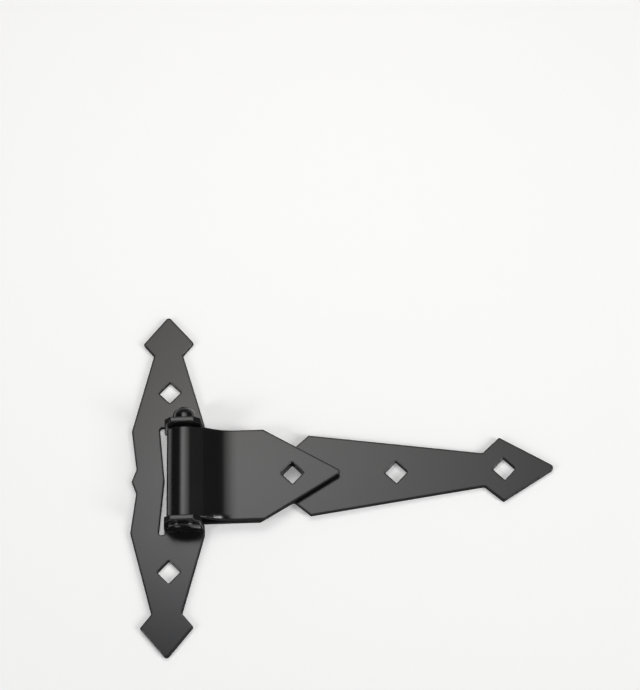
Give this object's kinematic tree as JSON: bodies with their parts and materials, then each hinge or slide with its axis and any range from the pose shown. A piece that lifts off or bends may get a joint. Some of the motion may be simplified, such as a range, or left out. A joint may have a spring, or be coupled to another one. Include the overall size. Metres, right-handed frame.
{
  "type": "tee hinge",
  "caption": "Black coated steel tee hinge for a gate: a pointed post plate whose bent ears hold a riveted pin, and an arrow-tipped strap wrapped round it",
  "frame": {"origin": "midway between the two post bolt holes, in the plane of the plate's back", "axes": "+X along the strap away from the pin, +Y up along the pin, +Z out of the plate towards the viewer"},
  "size_m": [0.2334, 0.195, 0.0264],
  "materials": {
    "sheet_coat": "semi-gloss powder coat",
    "pin_coat": "semi-gloss powder coat"
  },
  "bodies": {
    "post": {"post_plate": "sheet_coat", "hinge_pin": "pin_coat"},
    "gate": {"gate_strap": "sheet_coat"}
  },
  "joints": [
    {"name": "strap_swing", "type": "hinge", "parent": "post", "child": "gate", "pos_m": [0.0093, 0, 0.013], "axis": [0, -1, 0], "range_deg": [0, 180]}
  ]
}
